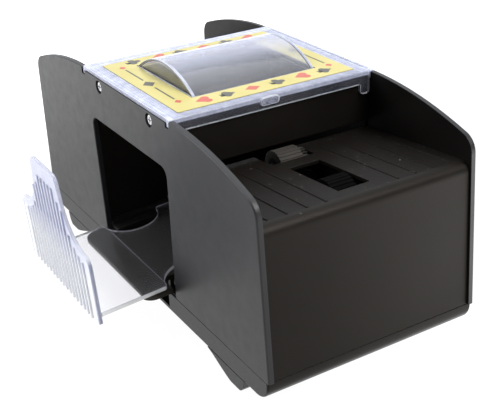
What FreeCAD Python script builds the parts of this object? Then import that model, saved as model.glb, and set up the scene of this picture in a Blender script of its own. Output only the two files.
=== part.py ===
import FreeCAD, Part
import os
import math

# Automatic playing-card shuffler, battery driven, free standing.
# Frame: +X along the long side, -Y is the front (the drawer side), +Z up.
# Origin: centre of the footprint, on the surface that the machine stands on.
# All lengths in millimetres.

os.makedirs("parts", exist_ok=True)
V = FreeCAD.Vector

# ---------------------------------------------------------------- driving dimensions
WIDTH_Y = 100.0          # over the two side panels
PANEL_T = 2.5            # side panel thickness
PANEL_END_LOW = 111.6    # half length of a side panel at the parting line
PANEL_END_TOP = 108.0    # half length at the shoulder corner
PANEL_TOP = 98.8         # top edge beside the lid
PANEL_SEAT = 97.55       # top edge under the lid
PANEL_BOW = 200.0        # radius of the falling top edge
PART_Z = 15.4            # parting line between base and panels
SHOULDER_R = 8.0         # upper outer corners of the panels
BASE_BOT = 5.2           # underside of the base between the legs
BASE_HX = 110.4          # half length of the base
BASE_HY = 49.8           # half width of the base
FOOT_Z = -1.5            # the pads' underside; the finished parts are lifted by this
BASE_T = 2.0             # base wall
WIN_LOW, WIN_HIGH, WIN_TOP = 36.0, 38.0, 76.5   # drawer window half widths and top
FLOOR_Z0, FLOOR_X0 = 73.0, 44.0                 # card tray, inner edge
FLOOR_SLOPE = 5.2 / 60.5                        # rise of the card tray outwards
FLOOR_T = 1.6
CHUTE_X = 38.2           # inner face of the chute wall
TOWER_X = 42.0           # outer face of the tower wall
SLOT_TOP = 76.0          # upper edge of the card slot
LID_HX, LID_HY, LID_TOP, LID_T = 43.5, 49.4, 99.2, 1.6
LIP_HY = 47.3            # half length of the lid's lips, between the side panels
DOME_R, DOME_HX, DOME_Y0, DOME_Y1 = 44.6, 26.2, -29.6, 30.2
TILT = math.radians(4.6)  # slope of the drawer bed, lower at the front
DRAWER_Z = 21.9          # top of the drawer floor where it crosses the front plane
DRAWER_HX = 34.3
DRAWER_T = 1.9
DRAWER_OUT = 35.0        # how far the drawer stands open at rest
FENCE_HX = 39.3
ROLL = (48.3, 69.2)      # roller axis (x, z)
ROLL_R = 7.2
FEED = (84.5, 68.9)      # feed wheel axis (x, z)
FEED_R = 7.9
DRIVE = (67.0, 54.0)     # drive gear axis (x, z)
MODULE = 0.5
T_ROLL, T_FEED, T_IDLE1, T_IDLE2, T_SMALL, T_BIG, T_PIN = 20, 20, 28, 26, 24, 48, 12
SHAFT_R = 1.0
PIVOT = (6.0, 15.6)      # press lever pivot (y, z)


# ---------------------------------------------------------------- helpers
def box(x0, x1, y0, y1, z0, z1):
    return Part.makeBox(x1 - x0, y1 - y0, z1 - z0, V(x0, y0, z0))


def cyl(x, y, z, r, h, axis):
    return Part.makeCylinder(r, h, V(x, y, z), V(*axis))


def cy(x, z, r, y0, y1):
    return Part.makeCylinder(r, y1 - y0, V(x, y0, z), V(0, 1, 0))


def cz(x, y, r, z0, z1):
    return Part.makeCylinder(r, z1 - z0, V(x, y, z0), V(0, 0, 1))


def prism(points, direction):
    w = Part.makePolygon([V(*p) for p in points] + [V(*points[0])])
    return Part.Face(w).extrude(V(*direction))


def prism_y(xz, y0, y1):
    return prism([(x, y0, z) for x, z in xz], (0, y1 - y0, 0))


def prism_x(yz, x0, x1):
    return prism([(x0, y, z) for y, z in yz], (x1 - x0, 0, 0))


def prism_z(xy, z0, z1):
    return prism([(x, y, z0) for x, y in xy], (0, 0, z1 - z0))


def fuse(shapes):
    s = shapes[0].multiFuse(shapes[1:]) if len(shapes) > 1 else shapes[0]
    return s.removeSplitter()


def cut(a, tools):
    for t in tools:
        a = a.cut(t)
    return a


def mirror_x(s):
    return s.mirror(V(0, 0, 0), V(1, 0, 0))


def mirror_y(s):
    return s.mirror(V(0, 0, 0), V(0, 1, 0))


def fillet(s, r, pick):
    edges = [e for e in s.Edges if pick(e)]
    if not edges:
        print("no edge to round")
        return s
    try:
        t = s.makeFillet(r, edges)
        if t.isValid() and t.Volume > 0:
            return t
    except Exception as err:
        print("fillet failed", r, err)
    return s


def along(e, d, tol=1e-3):
    if not isinstance(e.Curve, Part.Line):
        return False
    a, b = e.Vertexes[0].Point, e.Vertexes[-1].Point
    v = b.sub(a)
    if v.Length < 1e-6:
        return False
    v.normalize()
    return abs(abs(v.dot(V(*d))) - 1) < tol


def mid(e):
    p0, p1 = e.ParameterRange
    return e.valueAt((p0 + p1) / 2)


def zf(x):
    return FLOOR_Z0 + (abs(x) - FLOOR_X0) * FLOOR_SLOPE


NODES = {}


def put(name, shape):
    NODES[name] = shape


def group(shapes):
    return Part.makeCompound(shapes)


# drawer frame: s is the distance outwards along the sloping bed from the front
# plane, u the height above the drawer floor's top face
CT, ST = math.cos(TILT), math.sin(TILT)


def bed(s, u):
    return (-WIDTH_Y / 2 - s * CT - u * ST, DRAWER_Z - s * ST + u * CT)


def bed_prism(su, x0, x1):
    return prism_x([bed(s, u) for s, u in su], x0, x1)


# ---------------------------------------------------------------- side panels
def panel_outline(y):
    """Straight top under and beside the lid, then one arc down to the shoulder."""
    xa, xe = 41.0, PANEL_END_TOP
    drop = lambda x: PANEL_BOW - math.sqrt(PANEL_BOW ** 2 - (x - xa) ** 2)
    xm = (xa + xe) / 2
    ze, zm = PANEL_TOP - drop(xe), PANEL_TOP - drop(xm)
    e = [
        Part.LineSegment(V(-xa, y, PANEL_TOP), V(xa, y, PANEL_TOP)).toShape(),
        Part.Arc(V(xa, y, PANEL_TOP), V(xm, y, zm), V(xe, y, ze)).toShape(),
        Part.LineSegment(V(xe, y, ze), V(PANEL_END_LOW, y, PART_Z)).toShape(),
        Part.LineSegment(V(PANEL_END_LOW, y, PART_Z), V(-PANEL_END_LOW, y, PART_Z)).toShape(),
        Part.LineSegment(V(-PANEL_END_LOW, y, PART_Z), V(-xe, y, ze)).toShape(),
        Part.Arc(V(-xe, y, ze), V(-xm, y, zm), V(-xa, y, PANEL_TOP)).toShape(),
    ]
    return Part.Wire(e)


def side_panel(window):
    y0 = -WIDTH_Y / 2
    s = Part.Face(panel_outline(y0)).extrude(V(0, PANEL_T, 0))
    s = fillet(s, SHOULDER_R, lambda e: along(e, (0, 1, 0)) and abs(mid(e).x) > 107 and mid(e).z > 80)
    # softened outer rim
    s = fillet(s, 0.7, lambda e: abs(mid(e).y - y0) < 1e-6 and mid(e).z > PART_Z + 1)
    if window:
        w = prism_y([(-WIN_LOW, PART_Z - 1), (WIN_LOW, PART_Z - 1), (WIN_HIGH, WIN_TOP), (-WIN_HIGH, WIN_TOP)],
                    y0 - 1, y0 + PANEL_T + 1)
        w = fillet(w, 4.5, lambda e: along(e, (0, 1, 0)) and mid(e).z > 70)
        s = s.cut(w)
        s = fillet(s, 0.5, lambda e: abs(mid(e).y - y0) < 1e-6 and abs(mid(e).x) < 38.5
                   and PART_Z + 1 < mid(e).z < WIN_TOP + 0.5)
    # seat of the lid
    s = s.cut(box(-43.9, 43.9, y0 - 1, y0 + PANEL_T + 1, PANEL_SEAT, PANEL_TOP + 1))
    # notches for the lid's corner ears
    for sx in (-1, 1):
        a, b = sorted((sx * 40.9, sx * 44.0))
        s = s.cut(box(a, b, y0 - 1, y0 + PANEL_T + 1, 95.6, PANEL_TOP + 1))
        # sunk screw places
        s = s.cut(cy(sx * 25.5, 93.8, 3.0, y0 - 1, y0 + 1.8))
        s = s.cut(cy(sx * 25.5, 93.8, 1.4, y0, y0 + PANEL_T + 1))
    return s


front_panel = side_panel(True)
put("front_panel", front_panel)
put("rear_panel", mirror_y(side_panel(False)))


def pan_screw(x, y, z, d, head_r, head_h, r, length):
    """Screw with its seat at (x, y, z), pointing along the unit vector d."""
    dx, dy, dz = d
    head = Part.makeCylinder(head_r, head_h, V(x - dx * head_h, y - dy * head_h, z - dz * head_h), V(*d))
    head = fillet(head, head_h * 0.55, lambda e: (mid(e).sub(V(x, y, z))).dot(V(*d)) < -head_h * 0.9)
    shank = Part.makeCylinder(r, length, V(x, y, z), V(*d))
    s = head.fuse(shank)
    # cross recess
    q = head_h * 0.7
    a, b = head_r * 1.1, head_r * 0.26
    c = V(x - dx * head_h, y - dy * head_h, z - dz * head_h)
    if abs(dy) > 0.5:
        y0, y1 = sorted((c.y, c.y + dy * q))
        s = s.cut(box(c.x - a / 2, c.x + a / 2, y0 - 0.01, y1 + 0.01, c.z - b / 2, c.z + b / 2))
        s = s.cut(box(c.x - b / 2, c.x + b / 2, y0 - 0.01, y1 + 0.01, c.z - a / 2, c.z + a / 2))
    else:
        z0, z1 = sorted((c.z, c.z + dz * q))
        s = s.cut(box(c.x - a / 2, c.x + a / 2, c.y - b / 2, c.y + b / 2, z0 - 0.01, z1 + 0.01))
        s = s.cut(box(c.x - b / 2, c.x + b / 2, c.y - a / 2, c.y + a / 2, z0 - 0.01, z1 + 0.01))
    return s


panel_screws = []
for sy in (-1, 1):
    for sx in (-1, 1):
        panel_screws.append(pan_screw(sx * 25.5, sy * 48.2, 93.8, (0, -sy, 0), 2.5, 1.3, 1.2, 4.6))
put("panel_screws", group(panel_screws))

# ---------------------------------------------------------------- base
base = box(-BASE_HX, BASE_HX, -BASE_HY, BASE_HY, BASE_BOT, PART_Z)
base = fillet(base, 9.0, lambda e: along(e, (0, 1, 0)) and mid(e).z < BASE_BOT + 0.1)
base = fillet(base, 0.8, lambda e: mid(e).z < BASE_BOT + 9.2 and abs(abs(mid(e).y) - BASE_HY) < 1e-6
              and not along(e, (0, 0, 1)))
inner = box(-BASE_HX + BASE_T, BASE_HX - BASE_T, -BASE_HY + BASE_T, BASE_HY - BASE_T, BASE_BOT + BASE_T, PART_Z + 1)
inner = fillet(inner, 7.0, lambda e: along(e, (0, 1, 0)) and mid(e).z < BASE_BOT + 3)
base = base.cut(inner)
# shadow line under the panels
for sy in (-1, 1):
    a, b = sorted((sy * (BASE_HY - 0.8), sy * (BASE_HY + 1)))
    base = base.cut(box(-BASE_HX - 1, BASE_HX + 1, a, b, PART_Z - 0.6, PART_Z + 0.01))
for sx in (-1, 1):
    a, b = sorted((sx * (BASE_HX - 0.3), sx * (BASE_HX + 1)))
    base = base.cut(box(a, b, -BASE_HY - 1, BASE_HY + 1, PART_Z - 0.3, PART_Z + 0.01))
# opening in the front wall for the press lever
base = base.cut(box(-28.5, 28.5, -BASE_HY - 1, -BASE_HY + BASE_T + 0.01, BASE_BOT + BASE_T, PART_Z + 1))
# legs
leg_xz = [(62.5, BASE_BOT + 0.01), (66.5, 4.1), (70.0, 2.7), (74.0, 1.15), (78.0, -0.25), (80.4, -0.9), (81.4, -1.1),
          (88.2, -1.1), (89.5, -0.5), (90.9, 1.2), (92.2, 4.6), (92.4, BASE_BOT + 0.01)]
leg = prism_y(leg_xz, -BASE_HY, -37.4)
leg = leg.cut(box(81.8, 88.0, -46.8, -39.8, FOOT_Z, 0.4))
pads = []
for sx in (0, 1):
    for sy in (0, 1):
        a = leg
        p = box(81.8, 88.0, -46.8, -39.8, FOOT_Z, 0.4)
        p = fillet(p, 0.8, lambda e: along(e, (0, 0, 1)))
        a, p = (mirror_x(a), mirror_x(p)) if sx else (a, p)
        a, p = (mirror_y(a), mirror_y(p)) if sy else (a, p)
        base = base.fuse(a)
        pads.append(p)
# battery bay in the left wing: opening, walls and roof
BAY = (-105.0, -46.4, -27.0, 27.0)
bay_wall = box(BAY[0] - 1.5, BAY[1] + 1.5, BAY[2] - 1.5, BAY[3] + 1.5, BASE_BOT + 1.0, 24.4)
base = base.fuse(bay_wall)
base = base.cut(box(BAY[0], BAY[1], BAY[2], BAY[3], BASE_BOT - 1, 22.9))
base = base.cut(box(BAY[0] - 1.2, BAY[1] + 1.2, BAY[2] - 1.2, BAY[3] + 1.2, BASE_BOT - 1, BASE_BOT + 1.2))
# screw places near the ends of the base, driven from below
SCREW_X = (56.5, 97.4)
base_screws = []
for sx in (-1, 1):
    for sy in (-1, 1):
        for x in SCREW_X:
            X, Y = sx * x, sy * 40.0
            base = base.cut(cz(X, Y, 3.0, BASE_BOT - 1, BASE_BOT + 1.0))
            base = base.cut(cz(X, Y, 1.45, BASE_BOT - 1, BASE_BOT + 3))
            base_screws.append(pan_screw(X, Y, BASE_BOT + 1.0, (0, 0, 1), 2.6, 0.95, 1.25, 11.0))
# ears for the press lever's pivot pin, and the seat of its spring
for sx in (-1, 1):
    a, b = sorted((sx * 25.0, sx * 27.6))
    ear = prism_x([(PIVOT[0] - 4.0, 7.0), (PIVOT[0] + 4.0, 7.0), (PIVOT[0] + 2.6, 18.0), (PIVOT[0] - 2.6, 18.0)], a, b)
    base = base.fuse(ear)
base = base.fuse(cz(0, -38.0, 2.0, 7.0, 9.4))
base = base.cut(Part.makeCylinder(1.5, 80, V(-40, PIVOT[0], PIVOT[1]), V(1, 0, 0)))
put("base_tray", base.removeSplitter())
put("foot_pads", group(pads))
put("base_screws", group(base_screws))
put("lever_pivot_pin", Part.makeCylinder(1.5, 55.0, V(-27.5, PIVOT[0], PIVOT[1]), V(1, 0, 0)))

# battery door with its locating rim and a grip
door = box(BAY[0] - 1.1, BAY[1] + 1.1, BAY[2] - 1.1, BAY[3] + 1.1, BASE_BOT, BASE_BOT + 1.1)
rim = box(BAY[0] + 0.3, BAY[1] - 0.3, BAY[2] + 0.3, BAY[3] - 0.3, BASE_BOT + 1.0, BASE_BOT + 2.3).cut(
    box(BAY[0] + 1.5, BAY[1] - 1.5, BAY[2] + 1.5, BAY[3] - 1.5, BASE_BOT, BASE_BOT + 3))
door = door.fuse(rim)
for k in range(5):
    y = -6.0 + 3.0 * k
    door = door.cut(box(-56.0, -49.0, y - 0.6, y + 0.6, BASE_BOT - 1, BASE_BOT + 0.4))
put("battery_door", door.removeSplitter())

# four AA cells side by side, plus ends alternating
cells, leafs, plates = [], [], []
for k in range(4):
    x = BAY[0] + 7.35 + 14.6 * k
    flip = 1 if k % 2 == 0 else -1
    body = cy(x, 15.4, 7.1, -24.4, 24.4)
    body = fillet(body, 0.5, lambda e: True)
    nub = cy(x, 15.4, 2.6, 24.3, 25.4) if flip > 0 else cy(x, 15.4, 2.6, -25.4, -24.3)
    cells.append(body.fuse(nub).removeSplitter())
    # flat contact at the plus end
    ys = (25.45, 25.85) if flip > 0 else (-25.85, -25.45)
    plates.append(box(x - 4.5, x + 4.5, ys[0], ys[1], 10.0, 20.8))
    # bent leaf contact at the minus end
    sgn = -flip
    pts = [(26.9, 10.0), (26.9, 20.0), (26.4, 20.0), (24.55, 15.6), (24.75, 12.0), (25.15, 12.0), (24.95, 15.5),
           (26.45, 19.0), (26.5, 10.0)]
    leafs.append(prism_x([(sgn * a, b) for a, b in pts], x - 3.0, x + 3.0))
put("battery_cells", group(cells))
put("battery_end_plates", group(plates))
put("battery_leaf_springs", group(leafs))


# ---------------------------------------------------------------- card trays with tower walls
def hopper():
    outer = prism_y([(CHUTE_X, PART_Z), (BASE_HX, PART_Z), (107.5, zf(107.5)), (41.6, zf(41.6)), (40.2, zf(40.2) - 0.35),
                     (39.0, zf(39.0) - 1.2), (CHUTE_X, zf(38.0) - 2.4)], -47.5, 47.5)
    outer = fillet(outer, 4.6, lambda e: along(e, (0, 1, 0)) and mid(e).x > 107 and mid(e).z > 70)
    inn = prism_y([(CHUTE_X + 2.0, PART_Z - 5), (BASE_HX - 1.76, PART_Z - 5), (105.5, zf(105.5) - FLOOR_T),
                   (CHUTE_X + 2.0, zf(CHUTE_X + 2.0) - FLOOR_T)], -48.5, 48.5)
    inn = fillet(inn, 3.0, lambda e: along(e, (0, 1, 0)) and mid(e).x > 105 and mid(e).z > 70)
    s = outer.cut(inn)
    # side flanges against the panels, from the tray up to the lid
    fl = []
    for sy in (-1, 1):
        a, b = sorted((sy * 46.0, sy * 47.5))
        fl.append(box(CHUTE_X, TOWER_X, a, b, 70.0, 97.0))
    wall = box(40.2, TOWER_X, -47.5, 47.5, SLOT_TOP, LID_TOP - LID_T)
    s = s.multiFuse(fl + [wall])
    # roller slot, feed wheel hole
    s = s.cut(box(CHUTE_X - 1, 55.0, -10.8, 10.0, 62.0, 75.5))
    hole = box(63.0, 96.8, -7.6, 7.2, 60, 85)
    s = s.cut(hole)
    # guide ribs on the tray
    ribs = []
    for y in (16.6, 25.0, 33.7, 42.2):
        for sy in (-1, 1):
            c = sy * y
            ribs.append(prism_y([(50.0, zf(50.0) - 0.2), (102.3, zf(102.3) - 0.2), (102.3, zf(102.3) + 0.35),
                                 (75.0, zf(75.0) + 0.35), (50.0, zf(50.0) + 0.02)], c - 0.4, c + 0.4))
    s = s.multiFuse(ribs)
    # screw posts to the base and to the drive bracket
    posts, bores = [], []
    for sy in (-1, 1):
        for x in SCREW_X:
            posts.append(cz(x, sy * 40.0, 3.2, BASE_BOT + BASE_T, zf(x) - 0.8))
            bores.append(cz(x, sy * 40.0, 1.25, BASE_BOT + BASE_T - 1, BASE_BOT + BASE_T + 12.5))
    for x, y in BRACKET_SCREWS:
        posts.append(cz(x, y, 3.0, 29.0, zf(x) - 0.8))
        bores.append(cz(x, y, 1.0, 28.0, 37.0))
    s = s.multiFuse(posts)
    s = cut(s, bores)
    return s.removeSplitter()


BRACKET_SCREWS = [(64.0, -19.0), (86.0, -19.0), (75.0, 42.0)]
right_hopper = hopper()
put("right_hopper", right_hopper)
put("left_hopper", mirror_x(right_hopper))

# frame round the top of the tower, carrying the panels' screws
tf = box(-40.2, 40.2, -47.5, 47.5, 88.5, 97.2).cut(box(-34.0, 34.0, -42.5, 42.5, 80, 100))
for sx in (-1, 1):
    for sy in (-1, 1):
        a, b = sorted((sx * 38.2, sx * 41.0))
        c, d = sorted((sy * 46.0, sy * 48.0))
        tf = tf.cut(box(a, b, c, d, 80, 100))
        p, q = sorted((sy * 47.6, sy * 42.9))
        tf = tf.cut(cy(sx * 25.5, 93.8, 1.2, p, q))
put("tower_frame", tf.removeSplitter())

# ---------------------------------------------------------------- lid
lid = box(-LID_HX, LID_HX, -LID_HY, LID_HY, LID_TOP - LID_T, LID_TOP)
for sx in (-1, 1):
    x0, x1 = sorted((sx * (LID_HX - 1.4), sx * LID_HX))
    lid = lid.fuse(box(x0, x1, -LIP_HY, LIP_HY, 93.5, LID_TOP - LID_T + 0.5))
legs = []
for sx in (-1, 1):
    for sy in (-1, 1):
        x0, x1 = sorted((sx * (LID_HX - 1.4), sx * LID_HX))
        y0, y1 = sorted((sy * 42.6, sy * LIP_HY))
        t = box(x0, x1, y0, y1, 89.1, 93.8)
        t = fillet(t, 1.4, lambda e: along(e, (1, 0, 0)) and mid(e).z < 89.2)
        legs.append(t)
        x0, x1 = sorted((sx * 41.1, sx * LID_HX))
        y0, y1 = sorted((sy * 47.65, sy * LID_HY))
        legs.append(box(x0, x1, y0, y1, 95.8, LID_TOP - LID_T + 0.5))
# thumb tab on the right-hand lip
legs.append(fillet(box(LID_HX - 0.3, LID_HX + 1.0, -8.0, 0.6, 95.6, 98.8), 1.3,
                   lambda e: along(e, (1, 0, 0))))
lid = lid.multiFuse(legs)
ZC = LID_TOP - math.sqrt(DOME_R ** 2 - DOME_HX ** 2)
dome = cy(0, ZC, DOME_R, DOME_Y0, DOME_Y1).common(box(-30, 30, -40, 40, LID_TOP - 0.4, 120))
hollow = cy(0, ZC, DOME_R - 1.3, DOME_Y0 + 1.3, DOME_Y1 - 1.3).common(box(-30, 30, -40, 40, LID_TOP - LID_T - 1, 120))
lid = lid.fuse(dome).cut(hollow)
lid = lid.removeSplitter()
lid = fillet(lid, 0.6, lambda e: abs(mid(e).z - LID_TOP) < 1e-4 and abs(abs(mid(e).x) - LID_HX) < 1e-4)
put("clear_lid", lid)
label = box(-36.3, 38.4, -42.8, 42.6, LID_TOP, LID_TOP + 0.2).cut(box(-26.8, 26.8, -30.4, 30.8, 97, 101))
put("lid_label", label)

# ---------------------------------------------------------------- drawer
D0 = DRAWER_OUT + 0.2                     # inner face of the fence at the floor
FLOOR_LEN = 96.0
floor = bed_prism([(D0 + 0.5, 0.0), (D0 - FLOOR_LEN, 0.0), (D0 - FLOOR_LEN, -DRAWER_T), (D0 + 0.5, -DRAWER_T)],
                  -DRAWER_HX, DRAWER_HX)
nrm = V(0, -ST, CT)


def bed_cyl(x, s, r, u0, u1):
    y, z = bed(s, u0)
    return Part.makeCylinder(r, u1 - u0, V(x, y, z), nrm)


NOTCH_S = -11.3
for sx in (-1, 1):
    floor = floor.cut(bed_cyl(sx * DRAWER_HX, NOTCH_S, 13.8, -5, 5))
floor = fillet(floor, 1.6, lambda e: along(e, (0, -ST, CT)) and abs(abs(mid(e).x) - DRAWER_HX) < 0.2)
# the floor is a little thinner inside the machine
floor = floor.cut(bed_prism([(2.4, 0.0), (2.4, 0.5), (-100.0, 0.5), (-100.0, -0.25), (2.15, -0.25)], -DRAWER_HX - 1, DRAWER_HX + 1))
LEAN = 0.035
FT = 1.5                                   # fence plate
TAB_TOP = 56.3                             # top of the finger tab


def fence_face(u):
    return D0 - LEAN * u


def fence_outline():
    """Right half, bottom to top: (x, u)."""
    pts = [(FENCE_HX, -DRAWER_T), (FENCE_HX - 0.2, 24.5)]
    for k in range(1, 6):                  # shoulder corner, radius 4
        a = math.radians(90.0 * k / 6)
        pts.append((FENCE_HX - 4.2 + 4.0 * math.cos(a), 24.5 + 4.0 * math.sin(a) * 1.0))
    cx, cu, r = 36.0, 48.5, 20.2           # hollow curve up to the tab
    for k in range(0, 17):
        a = math.radians(265 - (265 - 186) * k / 16)
        pts.append((cx + r * math.cos(a), cu + r * math.sin(a)))
    pts.append((15.2, 50.6))
    for k in range(0, 7):                  # tab corner
        a = math.radians(90.0 * k / 6)
        pts.append((10.8 + 4.2 * math.cos(a), TAB_TOP - 4.2 + 4.2 * math.sin(a)))
    return pts


half = fence_outline()
full = half + [(-x, u) for x, u in reversed(half)]


def fence_solid(outline, d0, d1):
    """Plate between the distances d0 and d1 outside the fence's inner face."""
    p0 = [V(x, *bed(fence_face(u) + d0, u)) for x, u in outline]
    w = Part.makePolygon(p0 + [p0[0]])
    n = V(0, -CT, -ST)
    return Part.Face(w).extrude(n.multiply(d1 - d0))


fence = fence_solid(full, 0.0, FT)
parts = [floor, fence]
# upright ribs on the outer face
NRIB = 17


def top_at(x):
    """Height of the outline above x."""
    x = abs(x)
    best = 0.0
    for (xa, ua), (xb, ub) in zip(half, half[1:] + [(0.0, TAB_TOP)]):
        if min(xa, xb) - 1e-9 <= x <= max(xa, xb) + 1e-9 and abs(xa - xb) > 1e-9:
            u = ua + (ub - ua) * (x - xa) / (xb - xa)
            best = max(best, u)
    return best


for k in range(NRIB):
    x = -32.0 + 64.0 * k / (NRIB - 1)
    top = top_at(x) - 4.2
    if abs(x) < 11:
        top = 49.0
    elif abs(x) < 17:
        top = min(top, 44.0)
    parts.append(fence_solid([(x - 0.7, -DRAWER_T), (x + 0.7, -DRAWER_T), (x + 0.7, top), (x - 0.7, top)], FT - 0.2, FT + 0.7))
drawer = parts[0].multiFuse(parts[1:]).removeSplitter()
put("card_drawer", drawer)

# bed with the drawer's guides
rails = []
for sx in (-1, 1):
    x0, x1 = sorted((sx * 29.5, sx * CHUTE_X))
    # ledge under the drawer's edge, and the wall beside it down to the base
    ledge = bed_prism([(-2.6, -2.0), (-97.0, -2.0), (-97.0, -4.2), (-2.6, -4.2)], x0, x1)
    rails.append(ledge)
    a, b = sorted((sx * 34.6, sx * CHUTE_X))
    rails.append(bed_prism([(-2.6, -3.5), (-97.0, -3.5), (-97.0, 0.1), (-2.6, 0.1)], a, b))
    a, b = sorted((sx * 33.2, sx * CHUTE_X))
    rails.append(bed_prism([(-34.0, 0.1), (-97.0, 0.1), (-97.0, 1.4), (-34.0, 1.4)], a, b))
    a, b = sorted((sx * 36.0, sx * CHUTE_X))
    rails.append(prism_x([(-47.3, 7.2), (47.3, 7.2), (47.3, 27.0), (-47.3, 19.0)], a, b))
rails.append(bed_prism([(-66.0, -2.0), (-97.0, -2.0), (-97.0, -4.2), (-66.0, -4.2)], -30.0, 30.0))
rails.append(box(-30.0, 30.0, 44.0, 46.0, 7.2, 26.0))
deck = rails[0].multiFuse(rails[1:])
deck = deck.cut(box(-50, 50, 47.4, 60, 0, 60)).cut(box(-50, 50, -60, -47.4, 0, 60))
put("drawer_bed", deck.removeSplitter())

# ---------------------------------------------------------------- press lever
LT = 2.3
U0 = -2.1                                  # top of the lever below the drawer floor's top
wide = bed_prism([(13.2, U0), (0.5, U0), (0.5, U0 - LT), (13.2, U0 - LT)], -34.8, 34.8)
wide = fillet(wide, 5.5, lambda e: along(e, (0, -ST, CT)) and mid(e).y < -60)
wide = fillet(wide, 0.6, lambda e: mid(e).y < -51 and abs(mid(e).z - bed(0, U0)[1] + (-(mid(e).y) - 50) * math.tan(TILT)) < 0.1)
arm = bed_prism([(1.0, U0 - 0.1), (-58.0, U0 - 0.1), (-58.0, U0 - LT), (1.0, U0 - LT)], -24.6, 24.6)
ribs = []
for x in (-24.0, -8.0, 8.0, 22.0):
    ribs.append(prism_x([(-46.5, 12.2), (-46.5, 19.6), (10.0, 22.0), (10.0, 14.0), (2.0, 12.6), (-20.0, 12.2)],
                        x, x + 2.0))
lever = wide.multiFuse([arm] + ribs)
lug = Part.makeCylinder(3.6, 49.2, V(-24.6, PIVOT[0], PIVOT[1]), V(1, 0, 0))
lever = lever.fuse(lug)
lever = lever.cut(Part.makeCylinder(1.55, 60, V(-30, PIVOT[0], PIVOT[1]), V(1, 0, 0)))
lever = lever.cut(box(-22.0, -8.0, 1.4, 12, 8, bed(-54, U0 - LT)[1] - 0.6))
lever = lever.cut(box(10.0, 22.0, 1.4, 12, 8, bed(-54, U0 - LT)[1] - 0.6))
lever = lever.removeSplitter()
put("press_lever", lever)

# return spring of the lever: a coil on the base's stud
SP_R, SP_WIRE = 3.2, 0.35
SP_Z0 = BASE_BOT + BASE_T + SP_WIRE
sp_top = bed(-12.0, U0 - LT)[1] - 0.45
half_turns, rise = 8, (sp_top - SP_Z0) / 8.0
spring = None
for k in range(half_turns):
    sg = 1 if k % 2 == 0 else -1
    p0 = V(sg * SP_R, -38.0, SP_Z0 + rise * k)
    p1 = V(-sg * SP_R, -38.0, SP_Z0 + rise * (k + 1))
    disc = Part.Face(Part.Wire([Part.Circle(p0, V(0, 1, 0), SP_WIRE).toShape()]))
    axis = p1.sub(p0).cross(V(0, sg, 0))
    half = disc.revolve(p0.add(p1).multiply(0.5), axis, -180)
    spring = half if spring is None else spring.fuse(half)
put("lever_spring", spring)

# bridging contact under the lever, fixed contacts on the base
br_y, br_z = -26.0, 12.2
bridge = box(-8.0, 10.0, br_y - 2.5, br_y + 2.5, br_z - 0.35, br_z)
put("lever_contact", bridge)
fc = []
for x in (-7.0, 5.0):
    fc.append(prism_x([(br_y - 3.0, 7.2), (br_y + 3.0, 7.2), (br_y + 3.0, 7.6), (br_y + 1.6, 7.6), (br_y + 1.2, 10.85),
                       (br_y - 1.2, 10.85), (br_y - 1.6, 7.6), (br_y - 3.0, 7.6)], x, x + 4.0))
put("switch_contacts", group(fc))


# ---------------------------------------------------------------- gears
def gear_points(n, phase, cx, cz_, addendum=0.85, dedendum=1.15, backlash=0.10):
    """Spur gear outline in the XZ plane; angles run from +X towards +Z."""
    m = MODULE
    r = m * n / 2.0
    ra, rf = r + addendum * m, r - dedendum * m
    alpha = math.radians(20)
    rb = r * math.cos(alpha)
    half_t = (math.pi * m / 2 - backlash) / (2 * r)
    inv = math.tan(alpha) - alpha
    pts = []
    radii = [max(rb, rf + 0.02) + (ra - max(rb, rf + 0.02)) * k / 4 for k in range(5)]
    for i in range(n):
        c = phase + 2 * math.pi * i / n
        left = []
        for q in radii:
            aq = math.acos(min(1.0, rb / q))
            th = half_t + inv - (math.tan(aq) - aq)
            left.append((q, th))
        pts.append((rf, c - left[0][1] - 0.0))
        for q, th in left:
            pts.append((q, c - th))
        for q, th in reversed(left):
            pts.append((q, c + th))
        pts.append((rf, c + left[0][1] + 0.0))
    return [(cx + q * math.cos(a), cz_ + q * math.sin(a)) for q, a in pts]


def gear(n, phase, c, y0, y1):
    return prism_y(gear_points(n, phase, c[0], c[1]), y0, y1)


def mesh_phase(phase_a, n_a, ca, n_b, cb):
    """Phase of gear b so that it meshes with gear a."""
    phi = math.atan2(cb[1] - ca[1], cb[0] - ca[0])
    pa, pb = 2 * math.pi / n_a, 2 * math.pi / n_b
    f = ((phi - phase_a) / pa) % 1.0
    return phi + math.pi + (f + 0.5) * pb


def two_circles(ca, ra, cb, rb, lower=True):
    dx, dz = cb[0] - ca[0], cb[1] - ca[1]
    d = math.hypot(dx, dz)
    a = (ra * ra - rb * rb + d * d) / (2 * d)
    h = math.sqrt(max(0.0, ra * ra - a * a))
    px, pz = ca[0] + a * dx / d, ca[1] + a * dz / d
    c1 = (px + h * dz / d, pz - h * dx / d)
    c2 = (px - h * dz / d, pz + h * dx / d)
    lo, hi = (c1, c2) if c1[1] < c2[1] else (c2, c1)
    return lo if lower else hi


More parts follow.
